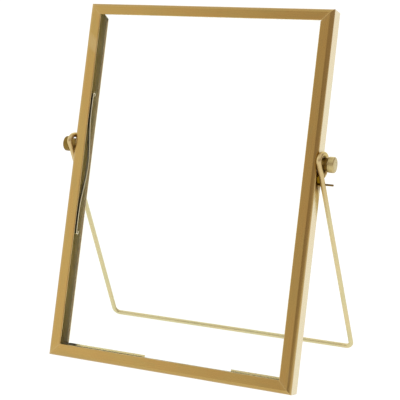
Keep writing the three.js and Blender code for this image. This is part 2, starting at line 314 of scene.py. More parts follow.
# Where the painted shade on the folds sets in and fades, how strong it is, and how dark.
FOLD_NEAR, FOLD_REACH = 0.92, 2.3
FOLD_SHADE_STRENGTH = 0.45
FOLD_PAINTED_SHADE = 0.6
LACQUER_ROUGHNESS = 0.15


def worked_brass(
    name, clean, warm, olive, worn, rough, lines, line_depth, lacquer=0.0, folds=(), painted_shades=()
):
    """Brass with drifting colour, bright worn edges, painted shade, and working lines."""
    material, tree, shader = new_material(name)
    shader.inputs["Metallic"].default_value = 1.0
    shader.inputs["Coat Weight"].default_value = lacquer
    shader.inputs["Coat Roughness"].default_value = LACQUER_ROUGHNESS

    drift = remap(tree, grain_noise(tree, 22.0, 9.0, 4.0), *DRIFT)
    colour = blend_colours(tree, drift, clean, warm)
    tarnish = remap(tree, grain_noise(tree, 14.0, 2.6, 5.0, seed=31.0), *TARNISH)
    colour = blend_colours(tree, tarnish, colour, olive)
    pointy = tree.nodes.new("ShaderNodeNewGeometry").outputs["Pointiness"]
    colour = blend_colours(tree, remap(tree, pointy, *EDGE_WEAR), colour, worn)
    # The folds are darkened with painted shade, standing in for the dim room that they reflect.
    if folds:
        fold_shade_colour = tuple(FOLD_PAINTED_SHADE * channel for channel in clean)
        fold = near_places(tree, "Y", folds, FOLD_NEAR, FOLD_REACH, FOLD_SHADE_STRENGTH)
        colour = blend_colours(tree, fold, colour, fold_shade_colour)
    edge_tint = NO_TINT
    for each in painted_shades:
        colour, edge_tint = paint_shade(tree, shader, colour, edge_tint, lacquer, **each)
    tree.links.new(colour, shader.inputs["Base Color"])
    draw_lines(tree, shader, lines, line_depth, rough)
    return material


# %% Mix the sheet's brasses
rolled_brass = worked_brass(
    "rolled_brass",
    clean=(0.53, 0.345, 0.085),
    warm=(0.54, 0.33, 0.080),
    olive=(0.47, 0.33, 0.09),
    worn=(0.62, 0.45, 0.19),
    rough=(0.25, 0.33),
    lines=(40.0, 0.3),
    line_depth=0.003,
    lacquer=0.8,
    folds=(0.0, frame_depth),
)
# The walls are painted paler than the front: a painted sheen for the bright floor that they reflect
# edge-on. The eased edge of the back lips gets the same painted highlight.
WALL_WITH_PAINTED_SHEEN = dict(
    clean=(0.66, 0.55, 0.27),
    warm=(0.67, 0.53, 0.25),
    olive=(0.59, 0.52, 0.26),
    worn=(0.73, 0.63, 0.36),
    rough=(0.14, 0.22),
    lines=(40.0, 0.3),
    line_depth=0.003,
    lacquer=0.8,
)
painted_sheen_wall_brass = worked_brass("painted_sheen_wall_brass", **WALL_WITH_PAINTED_SHEEN)
# Painted shadow: a brown darkening on the right wall below the screw, the eye and the pin.
WALL_PAINTED_SHADOW = dict(places=(104.8,), full=6.0, gone=10.5, shade_colour=(0.17, 0.117, 0.058))
painted_shadow_and_sheen_wall_brass = worked_brass("painted_shadow_and_sheen_wall_brass", painted_shades=(WALL_PAINTED_SHADOW,), **WALL_WITH_PAINTED_SHEEN)
# Bare and rough, and painted paler than the outside, as painted light for the shaded inside.
bare_brass_painted_paler = worked_brass(
    "bare_brass_painted_paler",
    clean=(0.70, 0.61, 0.32),
    warm=(0.70, 0.58, 0.28),
    olive=(0.58, 0.55, 0.29),
    worn=(0.76, 0.67, 0.40),
    rough=(0.5, 0.7),
    lines=(30.0, 0.5),
    line_depth=0.006,
)
print("brass made for the sheet: its front, its walls and its inside")

# %% Mix the brasses of the small pieces
turned_brass = worked_brass(
    "turned_brass",
    clean=(0.57, 0.48, 0.23),
    warm=(0.53, 0.42, 0.19),
    olive=(0.26, 0.20, 0.07),
    worn=(0.60, 0.52, 0.32),
    rough=(0.3, 0.42),
    lines=(20.0, 0.25),
    line_depth=0.004,
)
# Dark brown painted shade for the screw necks, the left screw and the stop pin, which sit in shade.
painted_shade_brass = worked_brass(
    "painted_shade_brass",
    clean=(0.23, 0.155, 0.035),
    warm=(0.25, 0.15, 0.030),
    olive=(0.17, 0.13, 0.035),
    worn=(0.40, 0.30, 0.14),
    rough=(0.35, 0.5),
    lines=(20.0, 0.25),
    line_depth=0.004,
)
spring_brass = worked_brass(
    "spring_brass",
    clean=(0.88, 0.80, 0.58),
    warm=(0.88, 0.78, 0.54),
    olive=(0.74, 0.70, 0.46),
    worn=(0.92, 0.86, 0.68),
    rough=(0.26, 0.4),
    lines=(20.0, 0.4),
    line_depth=0.004,
)
print("brass made for the fittings and the springs")

# %% [markdown]
# ## The rails
#
# Each rail is brass sheet folded into a channel: a front lip, a side wall and a back lip, with
# rounded folds, cut at 45 degrees at both ends so that four of them close into a frame. The
# engineered rails have the right size but only a few facets on each fold, so a finer rail takes
# the place of each. The section is drawn once. A point that lies further in from the outer face
# stops sooner at each end, which is all that a mitre is. Hand-folded sheet is never dead flat, so
# a slow wave a few hundredths of a millimetre high runs along it and softens the reflections.
# The inner edge of the back lips is eased with a file, and is painted pale, as a painted highlight.

# %% The channel's section
SHEET = 0.8
LIP = 6.2
TOP_LIP = 5.75
TOP_BACK_LIP = 2.6
BOTTOM_BACK_LIP = 6.6
FRONT_FOLD = 1.9
BACK_FOLD = 1.2
SHEARED_EDGE = 0.22
EASED_BACK, EASED_IN = 0.3, 0.9
FLAT_MARGIN = 0.12
EDGE_STEPS, FRONT_STEPS, BACK_STEPS = 3, 12, 10


def firm_flats(section):
    """Add a point near each end of every long straight, so that smooth shading leaves it flat."""
    firm = []
    for here, after in zip(section, section[1:] + section[:1]):
        firm.append(here)
        stretch = Vector(after) - Vector(here)
        if stretch.length > 4 * FLAT_MARGIN:
            step = stretch.normalized() * FLAT_MARGIN
            firm.append((here[0] + step.x, here[1] + step.y))
            firm.append((after[0] - step.x, after[1] - step.y))
    return firm


def channel_section(front_lip, back_lip):
    """The outline of the folded sheet, as (back, in from the outer face), in millimetres."""
    front = (FRONT_FOLD, FRONT_FOLD)
    back = (frame_depth - BACK_FOLD, BACK_FOLD)
    edge, inside = SHEARED_EDGE, frame_depth - SHEET
    return firm_flats(
        arc((edge, front_lip - edge), edge, 90, 180, EDGE_STEPS)
        + arc(front, FRONT_FOLD, 180, 270, FRONT_STEPS)
        + arc(back, BACK_FOLD, 270, 360, BACK_STEPS)
        + arc((frame_depth - edge, back_lip - edge), edge, 0, 90, EDGE_STEPS)
        + [(inside + EASED_BACK, back_lip), (inside, back_lip - EASED_IN)]
        + arc(back, BACK_FOLD - SHEET, 360, 270, BACK_STEPS)
        + arc(front, FRONT_FOLD - SHEET, 270, 180, FRONT_STEPS)
        + arc((SHEET - edge, front_lip - edge), edge, 0, 90, EDGE_STEPS)
    )


print("channel section:", len(channel_section(LIP, LIP)), "points")

# %% Where a rail runs
# Where each outer face starts, the way it runs, the way in, its length, and its two lips.
RAILS = {
    "rail_bottom": ((-side_face, 0.0), (1, 0), (0, 1), frame_width, (LIP, BOTTOM_BACK_LIP)),
    "rail_top": ((side_face, frame_height), (-1, 0), (0, -1), frame_width, (TOP_LIP, TOP_BACK_LIP)),
    "rail_left": ((-side_face, frame_height), (0, -1), (1, 0), frame_height, (LIP, LIP)),
    "rail_right": ((side_face, 0.0), (0, 1), (-1, 0), frame_height, (LIP, LIP)),
}
print("rails to fold, in mm:", {node: round(rail[3], 1) for node, rail in RAILS.items()})

# %% How far the sheet wanders
WAVE_HEIGHT = 0.04
WAVE_LENGTH = 18.0
WAVE_FADE = 12.0
WAVE_BETWEEN_RAILS = 7.3
WAVE_LAYERS = (0.0, 5.1)


def slow_wave(along, length, number):
    """How far the sheet wanders back and in at a place along a rail. It fades at the mitres."""
    height = WAVE_HEIGHT * max(0.0, min(1.0, min(along, length - along) / WAVE_FADE))
    spot = (along / WAVE_LENGTH, number * WAVE_BETWEEN_RAILS)
    return [height * noise.noise(Vector((*spot, layer))) for layer in WAVE_LAYERS]


# %% The grain of a rail
RAIL_LAYERS = 40.0


def on_rail(place, node):
    """A place in the scene as (along a rail, in from its outer face, back), in millimetres."""
    start, run, inward, _, _ = RAILS[node]
    x, back, up = off_frame(place)
    along = (x - start[0]) * run[0] + (up - start[1]) * run[1]
    deep_in = (x - start[0]) * inward[0] + (up - start[1]) * inward[1]
    return along, deep_in, back


def rail_grain(point, node, number):
    """Along the rail, round its section, and a layer of its own, for any point of the rail."""
    along, deep_in, back = on_rail(point, node)
    return along, back - deep_in * (1 - 2 * back / frame_depth), number * RAIL_LAYERS


# %% Tell the channel's faces apart
SKIN = 0.9 * SHEET  # deeper than this from the outer faces is inside the channel
WALL_DEPTH = 0.5 * BACK_FOLD
EASED_MARGIN = 0.08
ROLLED, BARE, PAINTED_SHEEN = 0, 1, 2


def finish_faces(rail, node):
    """Keep the channel's inside bare, and paint a paler sheen on the outer wall and the eased edge.
    """
    for face in rail.data.polygons:
        _, deep_in, back = on_rail(face.center, node)
        inside = SKIN < back < frame_depth - EASED_BACK and deep_in > SKIN
        wall = FRONT_FOLD < back < frame_depth and deep_in < WALL_DEPTH
        eased = inside and deep_in > BACK_FOLD and back > frame_depth - SHEET + EASED_MARGIN
        face.material_index = PAINTED_SHEEN if wall or eased else (BARE if inside else ROLLED)


# %% Fold the four rails
RAIL_STATIONS = 72
MITRE_GAP = 0.15


def fold_rail(node, number):
    start, run, inward, length, lips = RAILS[node]
    rings = []
    for s in range(RAIL_STATIONS + 1):
        ring = []
        for back, deep_in in channel_section(*lips):
            mitre = deep_in + MITRE_GAP
            along = mitre + (length - 2 * mitre) * s / RAIL_STATIONS
            wave_back, wave_in = slow_wave(along, length, number)
            x = start[0] + run[0] * along + inward[0] * (deep_in + wave_in)
            up = start[1] + run[1] * along + inward[1] * (deep_in + wave_in)
            ring.append(on_frame(x, back + wave_back, up))
        rings.append(ring)
    points, faces = loft(rings)
    grain = [rail_grain(p, node, number) for p in points]
    rail = make_piece(node + "_folded", points, faces, grain, rolled_brass, "frame")
    rail.data.materials.append(bare_brass_painted_paler)
    rail.data.materials.append(painted_shadow_and_sheen_wall_brass if node == "rail_right" else painted_sheen_wall_brass)
    finish_faces(rail, node)
    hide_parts(node)
    return rail


rails = {node: fold_rail(node, number) for number, node in enumerate(RAILS)}
print("rails folded:", ", ".join(rails))

# %% [markdown]
# ## Holes, and a notch
#
# Both side walls are drilled for the thumb screw that the stand swings on, and the right one again
# for the small stop pin. The bottom rail's back lip is cut down over a stretch, where a fingertip
# can push the panes up. A boolean modifier cuts a hole exactly as a drill does. Its result is kept
# as the rail's mesh, and the grain is combed again from each point's place, because a cut makes new
# points. The places to drill come from the screws and the pin.

# %% Tools that cut


def middle_of(node):
    """The middle of a piece, as (across, back, up) on the frame, in millimetres."""
    reach = [span(node, direction) for direction in (ACROSS, BACK, UP)]
    x, back, up = ((low + high) / 2 for low, high in reach)
    return x, back - front_plane, up - foot_plane


def cut_away(node, rings):
    """Take the lofted shape out of a rail, then comb and finish what is left."""
    rail = rails[node]
    tool = bpy.data.objects.new("cutter", make_mesh("cutter", *loft(rings)))
    bpy.context.scene.collection.objects.link(tool)
    cut = rail.modifiers.new("cut", "BOOLEAN")
    cut.operation, cut.solver, cut.object = "DIFFERENCE", "EXACT", tool
    bpy.context.view_layer.update()
    left_over = rail.evaluated_get(bpy.context.evaluated_depsgraph_get())
    mesh = bpy.data.meshes.new_from_object(left_over)
    rail.modifiers.remove(cut)
    rail.data = mesh
    bpy.data.objects.remove(tool)
    number = list(RAILS).index(node)
    comb(mesh, [rail_grain(v.co, node, number) for v in mesh.vertices])
    finish_faces(rail, node)
    print(node, "cut, now", len(mesh.vertices), "points")


# %% Drill the side walls
HOLE_ROOM = 0.15
HOLE_SIDES = 48
SHANK_RADIUS = 1.5
PIN_RADIUS = 0.5
DRILL_REACH = 1.1


def drill(node, fitting, radius):
    x, back, up = middle_of(fitting)
    side = math.copysign(1.0, x)
    circle = arc((back, up), radius + HOLE_ROOM, 0, 360, HOLE_SIDES)[:-1]
    ends = (side_face - DRILL_REACH, side_face + SHEET)
    cut_away(node, [[on_frame(side * out, *place) for place in circle] for out in ends])


drill("rail_left", "thumb_screw_left", SHANK_RADIUS)
drill("rail_right", "thumb_screw_right", SHANK_RADIUS)
drill("rail_right", "stop_pin", PIN_RADIUS)

# %% Cut the notch
NOTCH_ENDS = (-15.3, 31.5)
NOTCH_DEPTH = 1.1

low, high = BOTTOM_BACK_LIP - NOTCH_DEPTH, BOTTOM_BACK_LIP + NOTCH_DEPTH
near, far = frame_depth - 2 * SHEET, frame_depth + SHEET
notch_corners = ((near, low), (far, low), (far, high), (near, high))
cut_away("rail_bottom", [[on_frame(x, *place) for place in notch_corners] for x in NOTCH_ENDS])

# %% [markdown]
# ## Solder in the mitres
#
# The mitres are closed with soft solder, which stays paler than the brass and stands just proud of
# it. Each seam is a short piece of the channel itself, swept round the corner from one rail to the
# next and swelling a little on the mitre. The outer corner is filed round.

# %% Solder the four corners
solder_metal = worked_brass(
    "solder",
    clean=(0.57, 0.40, 0.15),
    warm=(0.56, 0.38, 0.13),
    olive=(0.48, 0.37, 0.15),
    worn=(0.62, 0.47, 0.22),
    rough=(0.28, 0.42),
    lines=(2.0, 1.0),
    line_depth=0.01,
)
CORNERS = {
    "top_left": ((-side_face, frame_height), (1, -1), (TOP_LIP, TOP_BACK_LIP)),
    "top_right": ((side_face, frame_height), (-1, -1), (TOP_LIP, TOP_BACK_LIP)),
    "bottom_left": ((-side_face, 0.0), (1, 1), (LIP, LIP)),
    "bottom_right": ((side_face, 0.0), (-1, 1), (LIP, LIP)),
}
SEAM_HALF_WIDTH = 0.26
SEAM_SWELL = 0.04
SEAM_STEPS = (-1.0, -0.5, 0.0, 0.5, 1.0)
SEAM_POINT_GAP = 0.3
SEAM_LAYER, SEAM_LAYERS = 200.0, 10.0
FILED_CORNER = 0.16


def swollen(section, amount):
    """A section grown outwards by an amount, square to its outline."""
    grown = []
    for i, (back, deep_in) in enumerate(section):
        before, after = section[i - 1], section[(i + 1) % len(section)]
        outward = Vector((before[1] - after[1], after[0] - before[0])).normalized()
        grown.append((back - outward.x * amount, deep_in - outward.y * amount))
    return grown


def solder_corner(name, number):
    corner, inward, lips = CORNERS[name]
    rings, grain = [], []
    for step in SEAM_STEPS:
        offset = abs(step) * SEAM_HALF_WIDTH
        run = (inward[0] * offset, 0.0) if step > 0 else (0.0, inward[1] * offset)
        swell = SEAM_SWELL * (1 - step * step)
        ring = []
        for k, (back, deep_in) in enumerate(swollen(channel_section(*lips), swell)):
            filed = FILED_CORNER * (1 - abs(step)) * max(0.0, 1 - deep_in / FRONT_FOLD)
            x = corner[0] + inward[0] * (deep_in + filed) + run[0]
            up = corner[1] + inward[1] * (deep_in + filed) + run[1]
            ring.append(on_frame(x, back, up))
            grain.append((step, k * SEAM_POINT_GAP, SEAM_LAYER + number * SEAM_LAYERS))
        rings.append(ring)
    points, faces = loft(rings)
    return make_piece("solder_" + name, points, faces, grain, solder_metal, "frame")


seams = [solder_corner(name, number) for number, name in enumerate(CORNERS)]
print(len(seams), "mitres soldered")

# %% [markdown]
# ## The two panes
#
# Picture glass is a flat clear sheet whose cut edges are ground, so the faces vanish and the edges
# turn a frosted, slightly green white. Each pane is a rounded slab with an arris ground along every
# edge. The clear faces and the ground edges get a material each. Both are plain glass: full
# transmission, the index of float glass, and very little colour. Four glass faces in a row would
# lay a grey glare over the brass behind them, so their mirror reflection is turned down, as a
# non-reflecting finish would do.

# %% Clear and ground glass
GLASS_INDEX = 1.5
GLARE = 0.15
CLOUD = 0.006


def glass(name, tint, roughness, mottle):
    """See-through glass. mottle is how far the polish wanders over a few millimetres."""
    material, tree, shader = new_material(name)
    shader.inputs["Transmission Weight"].default_value = 1.0
    shader.inputs["IOR"].default_value = GLASS_INDEX
    shader.inputs["Specular Tint"].default_value = (GLARE, GLARE, GLARE, 1.0)
    polish = grain_noise(tree, 3.0, 3.0, 2.0)
    polish = remap(tree, polish, NOISE_LOW, NOISE_HIGH, roughness, roughness + mottle)
    tree.links.new(polish, shader.inputs["Roughness"])
    cloud = grain_noise(tree, 14.0, 14.0, 2.0, seed=3.0)
    cloud = remap(tree, cloud, NOISE_LOW, NOISE_HIGH, 0.0, 1.0)
    paler = tuple(min(1.0, channel + CLOUD) for channel in tint)
    tree.links.new(blend_colours(tree, cloud, tint, paler), shader.inputs["Base Color"])
    return material


clear_glass = glass("clear_glass", (0.980, 0.992, 0.978), 0.0, 0.004)
ground_glass = glass("ground_glass", (0.86, 0.95, 0.90), 0.32, 0.12)
print("glass made, clear for the faces and ground for the edges")

# %% Cut and grind the panes
ARRIS = 0.4
CORNER_ROUND = 1.2
CORNER_STEPS = 4
PANE_LAYERS = 50.0


def rounded_outline(half_width, low, high, radius, steps):
    """A rectangle with round corners, drawn from its lower right corner round."""
    right, bottom, top = half_width - radius, low + radius, high - radius
    corners = ((right, bottom, 270), (right, top, 0), (-right, top, 90), (-right, bottom, 180))
    outline = []
    for x, y, start in corners:
        outline += arc((x, y), radius, start, start + 90, steps)
    return outline


def cut_pane(node, number):
    half_width = span(node, ACROSS)[1]
    back_low, back_high = (reach - front_plane for reach in span(node, BACK))
    low, high = (reach - foot_plane for reach in span(node, UP))
    near_face = [(back_low, ARRIS), (back_low + ARRIS, 0.0)]
    far_face = [(back_high - ARRIS, 0.0), (back_high, ARRIS)]
    rings, grain = [], []
    for back, ground in near_face + far_face:
        reach = (half_width - ground, low + ground, high - ground)
        outline = rounded_outline(*reach, CORNER_ROUND - ground, CORNER_STEPS)
        rings.append([on_frame(x, back, up) for x, up in outline])
        grain += [(x, up, number * PANE_LAYERS + back) for x, up in outline]
    points, faces = loft(rings)
    pane = make_piece(node + "_pane", points, faces, grain, clear_glass, "frame")
    pane.data.materials.append(ground_glass)
    for face in pane.data.polygons:
        face.material_index = 0 if len(face.vertices) > 4 else 1
    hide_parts(node)
    return pane


panes = [cut_pane(node, number) for number, node in enumerate(("glass_front", "glass_back"))]
print("panes cut, each with", len(panes[0].data.polygons), "faces")

# %% [markdown]
# ## The leaf springs
#
# A bowed strip in each side channel pushes the panes forward against the front lips. It touches
# the back pane with its two ends and the back lip with its middle, and each tip curls away from
# the glass so that it can't scratch. The strip's middle line is worked out as one half and
# mirrored, and a small round-cornered section is carried along it.

# %% Carry a section along a line


def carry(path, side, section, sizes=None):
    """Rings of a section, as (side, other) in millimetres, carried along a path without a twist."""
    rings = []
    last = len(path) - 1
    for i, place in enumerate(path):
        ahead = (path[min(i + 1, last)] - path[max(i - 1, 0)]).normalized()
        side = (side - ahead * side.dot(ahead)).normalized()
        other = ahead.cross(side)
        size = (sizes[i] if sizes else 1.0) * MM
        rings.append([place + (side * a + other * b) * size for a, b in section])
    return rings


# %% Bend the springs
SPRING_SHEET = 0.5
SPRING_CURL = 0.9
SPRING_FLAT = 10.0
CURL_TURN = 230.0
BOW_STEPS, CURL_STEPS = 28, 14
STRIP_EDGE, STRIP_EDGE_STEPS = 0.12, 3
TOUCH_GAP = 0.3
POINT_GAP = 0.25  # how far apart the points of a ring count as, in the grain
SPRING_LAYER = 300.0


def spring_half(near, far, half_length):
    """Middle line from the bow's crown to the curled tip, as (back, up from the middle)."""
    tip = half_length - SPRING_CURL
    bow = tip - SPRING_FLAT
    rise = [i / BOW_STEPS for i in range(BOW_STEPS + 1)]
    line = [(near + (far - near) * (1 + math.cos(math.pi * t)) / 2, t * bow) for t in rise]
    return line + arc((near + SPRING_CURL, tip), SPRING_CURL, 180, 180 - CURL_TURN, CURL_STEPS)


def bend_spring(hand, number):
    """Make a spring and its tips. Returns how much strip it takes, in millimetres."""
    node = "spring_" + hand
    x, _, middle_up = middle_of(node)
    width, length = (high - low for low, high in (span(node, ACROSS), span(node, UP)))
    near = span(node, BACK)[0] - front_plane + SPRING_SHEET / 2
    far = frame_depth - SHEET - TOUCH_GAP - SPRING_SHEET / 2
    half = spring_half(near, far, length / 2)
    line = [(back, -up) for back, up in reversed(half[1:])] + half
    path = [on_frame(x, back, middle_up + up) for back, up in line]
    thick = (-SPRING_SHEET / 2, SPRING_SHEET / 2)
    section = rounded_outline(width / 2, *thick, STRIP_EDGE, STRIP_EDGE_STEPS)
    points, faces = loft(carry(path, ACROSS, section))
    along = [d / MM for d in distances(path)]
    layer = SPRING_LAYER + number
    grain = [(d, k * POINT_GAP, layer) for d in along for k in range(len(section))]
    name = node + "_strip"
    spring = make_piece(name, points, faces, grain, spring_brass, "frame")
    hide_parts(node)
    return along[-1]


for number, hand in enumerate(("left", "right")):
    print(f"{hand} spring: {bend_spring(hand, number):.1f} mm of strip")

# %% [markdown]
# ## Thumb screws and the stop pin
#
# Both are turned from brass rod, so both are a profile spun round an axis. The screw has a soft
# edged head to grip, a neck that the wire's eye turns on, and a shank through the rail. The pin is
# a short rod with a rounded tip, held in the wall by a small skirt of solder. The left screw and
# the pin are painted dark brown all over, the right screw only on its neck, as painted shade where
# they sit in the shadow of the parts round them. Lathe tools leave rings, so the grain of a turned
# piece runs round it.

# %% Spin a profile
TURNED_SIDES = 72


def turn(name, profile, node, layer, material):
    """Spin a profile of (out from the frame's side, radius), from the inside end outwards."""
    x, back, up = middle_of(node)
    side = math.copysign(1.0, x)
    rings, grain = [], []
    for (out, radius), along in zip(profile, distances(profile)):
        circle = arc((back, up), radius, 0, 360, TURNED_SIDES)[:-1]
        rings.append([on_frame(side * (side_face + out), *place) for place in circle])
        grain += [(i * POINT_GAP, along, layer) for i in range(TURNED_SIDES)]
    points, faces = loft(rings)
    piece = make_piece(name, points, faces, grain, material, "frame")
    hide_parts(node)
    return piece


# %% Turn the thumb screws
SHANK_IN = 1.5
NECK_RADIUS = 3.0
HEAD_RADIUS = 3.85
HEAD_IN, HEAD_OUT = 4.1, 7.7
HEAD_ROUND, HEAD_ROUND_STEPS = 0.8, 10
HEAD_DOME, DOME_PLACES = 0.12, (0.8, 0.55, 0.3)
SHANK_BEVEL = 0.25
NECK_IN, NECK_BEVEL = 0.05, 0.15
FILLET = 0.02
TIP = 0.04


def screw_profile():
    """Shank, neck and head. The profile stops short of the axis by the small radius TIP."""
    bevelled = SHANK_RADIUS - SHANK_BEVEL
    shank = [(-SHANK_IN, TIP), (-SHANK_IN, bevelled), (SHANK_BEVEL - SHANK_IN, SHANK_RADIUS)]
    neck = [(NECK_IN, SHANK_RADIUS), (NECK_IN, NECK_RADIUS - NECK_BEVEL)]
    neck += [(NECK_IN + NECK_BEVEL, NECK_RADIUS), (HEAD_IN - NECK_BEVEL, NECK_RADIUS)]
    fillet = [(HEAD_IN - FILLET, NECK_RADIUS + FILLET)]
    rim = HEAD_RADIUS - HEAD_ROUND
    near = arc((HEAD_IN + HEAD_ROUND, rim), HEAD_ROUND, 180, 90, HEAD_ROUND_STEPS)
    far_middle = HEAD_OUT - HEAD_DOME - HEAD_ROUND
    far = arc((far_middle, rim), HEAD_ROUND, 90, 0, HEAD_ROUND_STEPS)
    dome = [(HEAD_OUT - HEAD_DOME * t * t, rim * t) for t in DOME_PLACES]
    return shank + neck + fillet + near + far + dome + [(HEAD_OUT, TIP)]


# The metal of each screw's head, and its layer of the grain.
SCREWS = {"left": (painted_shade_brass, 400.0), "right": (turned_brass, 409.0)}
neck_rings = sum(1 for out, _ in screw_profile() if out <= HEAD_IN)
for hand, (head_metal, layer) in SCREWS.items():
    node = "thumb_screw_" + hand
    screw = turn(node + "_turned", screw_profile(), node, layer, head_metal)
    # The neck gets the painted shade.
    screw.data.materials.append(painted_shade_brass)
    for face in screw.data.polygons[: neck_rings * TURNED_SIDES]:
        face.material_index = 1
print("thumb screws turned,", len(screw_profile()), "points in the profile")

# %% Turn the stop pin
PIN_IN, PIN_OUT = 0.8, 6.4
PIN_TIP_ROUND, PIN_TIP_STEPS = 0.3, 6
SKIRT, SKIRT_IN = 0.45, 0.02
SKIRT_PLACES = (0.0, 0.25, 0.5, 0.75, 1.0)
PIN_LAYER = 440.0


def pin_profile():
    foot = [(-PIN_IN, TIP), (-PIN_IN, PIN_RADIUS), (0.0, PIN_RADIUS)]
    skirt = [(SKIRT_IN + SKIRT * t, PIN_RADIUS + SKIRT * (1 - t) ** 2) for t in SKIRT_PLACES]
    tip_middle = (PIN_OUT - PIN_TIP_ROUND, PIN_RADIUS - PIN_TIP_ROUND)
    tip = arc(tip_middle, PIN_TIP_ROUND, 90, 0, PIN_TIP_STEPS)
    return foot + skirt + tip + [(PIN_OUT, TIP)]


turn("stop_pin_turned", pin_profile(), "stop_pin", PIN_LAYER, painted_shade_brass)
print("stop pin turned,", len(pin_profile()), "points in the profile")

# %% [markdown]
# ## The wire stand
#
# The stand is one length of round brass wire, bent cold: an eye at each end that loops over the
# screw, two straight legs that splay a little, and a foot bar with small round bends. Its route is
# worked out about the pivot, in the plane of the open leg. A smooth curve through a few bends makes
# the eye, since a hand-made loop is no true circle, and the long runs wander by less than a tenth
# of a millimetre, as wire off a coil does. The ends are sawn square with the burr taken off.

# %% Where the wire runs
WIRE_RADIUS = 1.2
LEG_OFFSET = 4.84
LEG_ANGLE = math.radians(41.84)
# How far out from the frame's side the wire lies at its eye and at its foot: -1 left, 1 right.
EYE_OUT = {-1: 1.5, 1: 1.7}
FOOT_OUT = {-1: 4.15, 1: 4.78}
# The bends of the eye as (back, up) from the pivot, from the sawn end round to the leg.
EYE_BENDS = [
    (0.95, -5.6),
    (2.5, -4.5),
    (4.1, -2.2),
    (4.6, 0.9),
    (3.3, 3.2),
    (1.0, 4.5),
    (-1.8, 4.6),
    (-4.9, 3.8),
    (-6.9, 1.9),
    (-7.1, 0.4),
    (-6.0, -0.9),
]
_, pivot_back, pivot_up = middle_of("thumb_screw_right")


def from_pivot(x, back, up):
    return on_frame(x, pivot_back + back, pivot_up + up)


def leg_place(down, side, out):
    """A place on a leg's middle line: so far down from abreast of the pivot, so far out."""
    back = math.sin(LEG_ANGLE) * down - math.cos(LEG_ANGLE) * LEG_OFFSET
    up = -math.cos(LEG_ANGLE) * down - math.sin(LEG_ANGLE) * LEG_OFFSET
    return from_pivot(side * (side_face + out), back, up)


leg_top = leg_place(0.0, 1, 0.0)
leg_drop = leg_top.z - leg_place(1.0, 1, 0.0).z
LEG_LENGTH = (leg_top.z - WIRE_RADIUS * MM) / leg_drop
print(f"leg {LEG_LENGTH:.1f} mm, so that the foot bar rests on the table")

# %% Bend the wire
EYE_STEPS = 6
LEG_TOP_PLACES = (0.5, 3.0)
LEG_STEP = 3
FOOT_BEND, FOOT_BEND_STEPS = 3.2, 12
BAR_STEPS = 44


def bend_through(bends, steps):
    """A smooth line through the bends, as one Bezier stretch from each bend to the next."""
    line = []
    last = len(bends) - 1
    for i in range(last):
        start, end = bends[i], bends[i + 1]
        reach = (end - start).length / 3
        leaving = (end - bends[max(i - 1, 0)]).normalized() * reach
        arriving = (bends[min(i + 2, last)] - start).normalized() * reach
        line += geometry.interpolate_bezier(start, start + leaving, end - arriving, end, steps)[:-1]
    return line + [bends[last]]


def on_leg(down, side, out=0.0):
    """A place on a splayed leg, and perhaps a little further out from it."""
    reached = max(0.0, min(1.0, down / LEG_LENGTH))
    splay = EYE_OUT[side] + (FOOT_OUT[side] - EYE_OUT[side]) * reached
    return leg_place(down, side, splay + out)


def leg_run(side):
    """Half of the wire, from the sawn end of the eye to where the foot bar runs straight."""
    eye = [from_pivot(side * (side_face + EYE_OUT[side]), back, up) for back, up in EYE_BENDS]
    eye += [on_leg(down, side) for down in LEG_TOP_PLACES]
    straight_end = LEG_LENGTH - FOOT_BEND
    straight = [on_leg(down, side) for down in range(2 * LEG_STEP, int(straight_end) - 1, LEG_STEP)]
    bend = arc((straight_end, -FOOT_BEND), FOOT_BEND, 90, 0, FOOT_BEND_STEPS)
    foot = [on_leg(down, side, out) for down, out in bend]
    return bend_through(eye, EYE_STEPS) + straight + foot


def foot_bar(left_end, right_end):
    return [left_end.lerp(right_end, i / BAR_STEPS) for i in range(1, BAR_STEPS)]


# %% Let the wire wander
WANDER = 0.08
WANDER_LENGTH = 38.0
WANDER_SPOT = (3.7, 1.9)
WANDER_LAYERS = (0.0, 9.2)


def wandered(path):
    """The path with a slow wander, so that the long runs aren't dead straight."""
    line = []
    for place, along in zip(path, distances(path)):
        spot = Vector((along / MM / WANDER_LENGTH, *WANDER_SPOT))
        nudge = [noise.noise(spot + Vector((0, 0, layer))) for layer in WANDER_LAYERS]
        line.append(place + (ACROSS * nudge[0] + BACK * nudge[1]) * WANDER * MM)
    return line


left_half = leg_run(-1)
right_half = leg_run(1)
middle_line = left_half + foot_bar(left_half[-1], right_half[-1]) + right_half[::-1]
middle_line = wandered(middle_line)
print(f"wire's middle line: {len(middle_line)} points, {distances(middle_line)[-1] / MM:.0f} mm")

# %% Saw the ends
BURR_LENGTH = 0.2
BURR_SIZE = 0.84

for end, beside, before in ((0, 1, 1), (-1, -2, -1)):
    step_in = (middle_line[beside] - middle_line[end]).normalized() * BURR_LENGTH * MM
    middle_line.insert(before, middle_line[end] + step_in)
sizes = [BURR_SIZE] + [1.0] * (len(middle_line) - 2) + [BURR_SIZE]
wire_places = [d / MM for d in distances(middle_line)]
print("both ends sawn, and the burr taken off", BURR_LENGTH, "mm of each")

# %% [markdown]
# ## The wire's brass
#
# Drawn brass carries fine lines along the wire. Near both ends, by the screws, the wire is painted
# warmer and darker, and round the left eye quite brown, as painted shade where the screws and the
# rail shade it. Two painted shades do this, the wide one first. The place of the wire's far end is
# known only now that it is bent, so this brass is mixed here and not with the others.

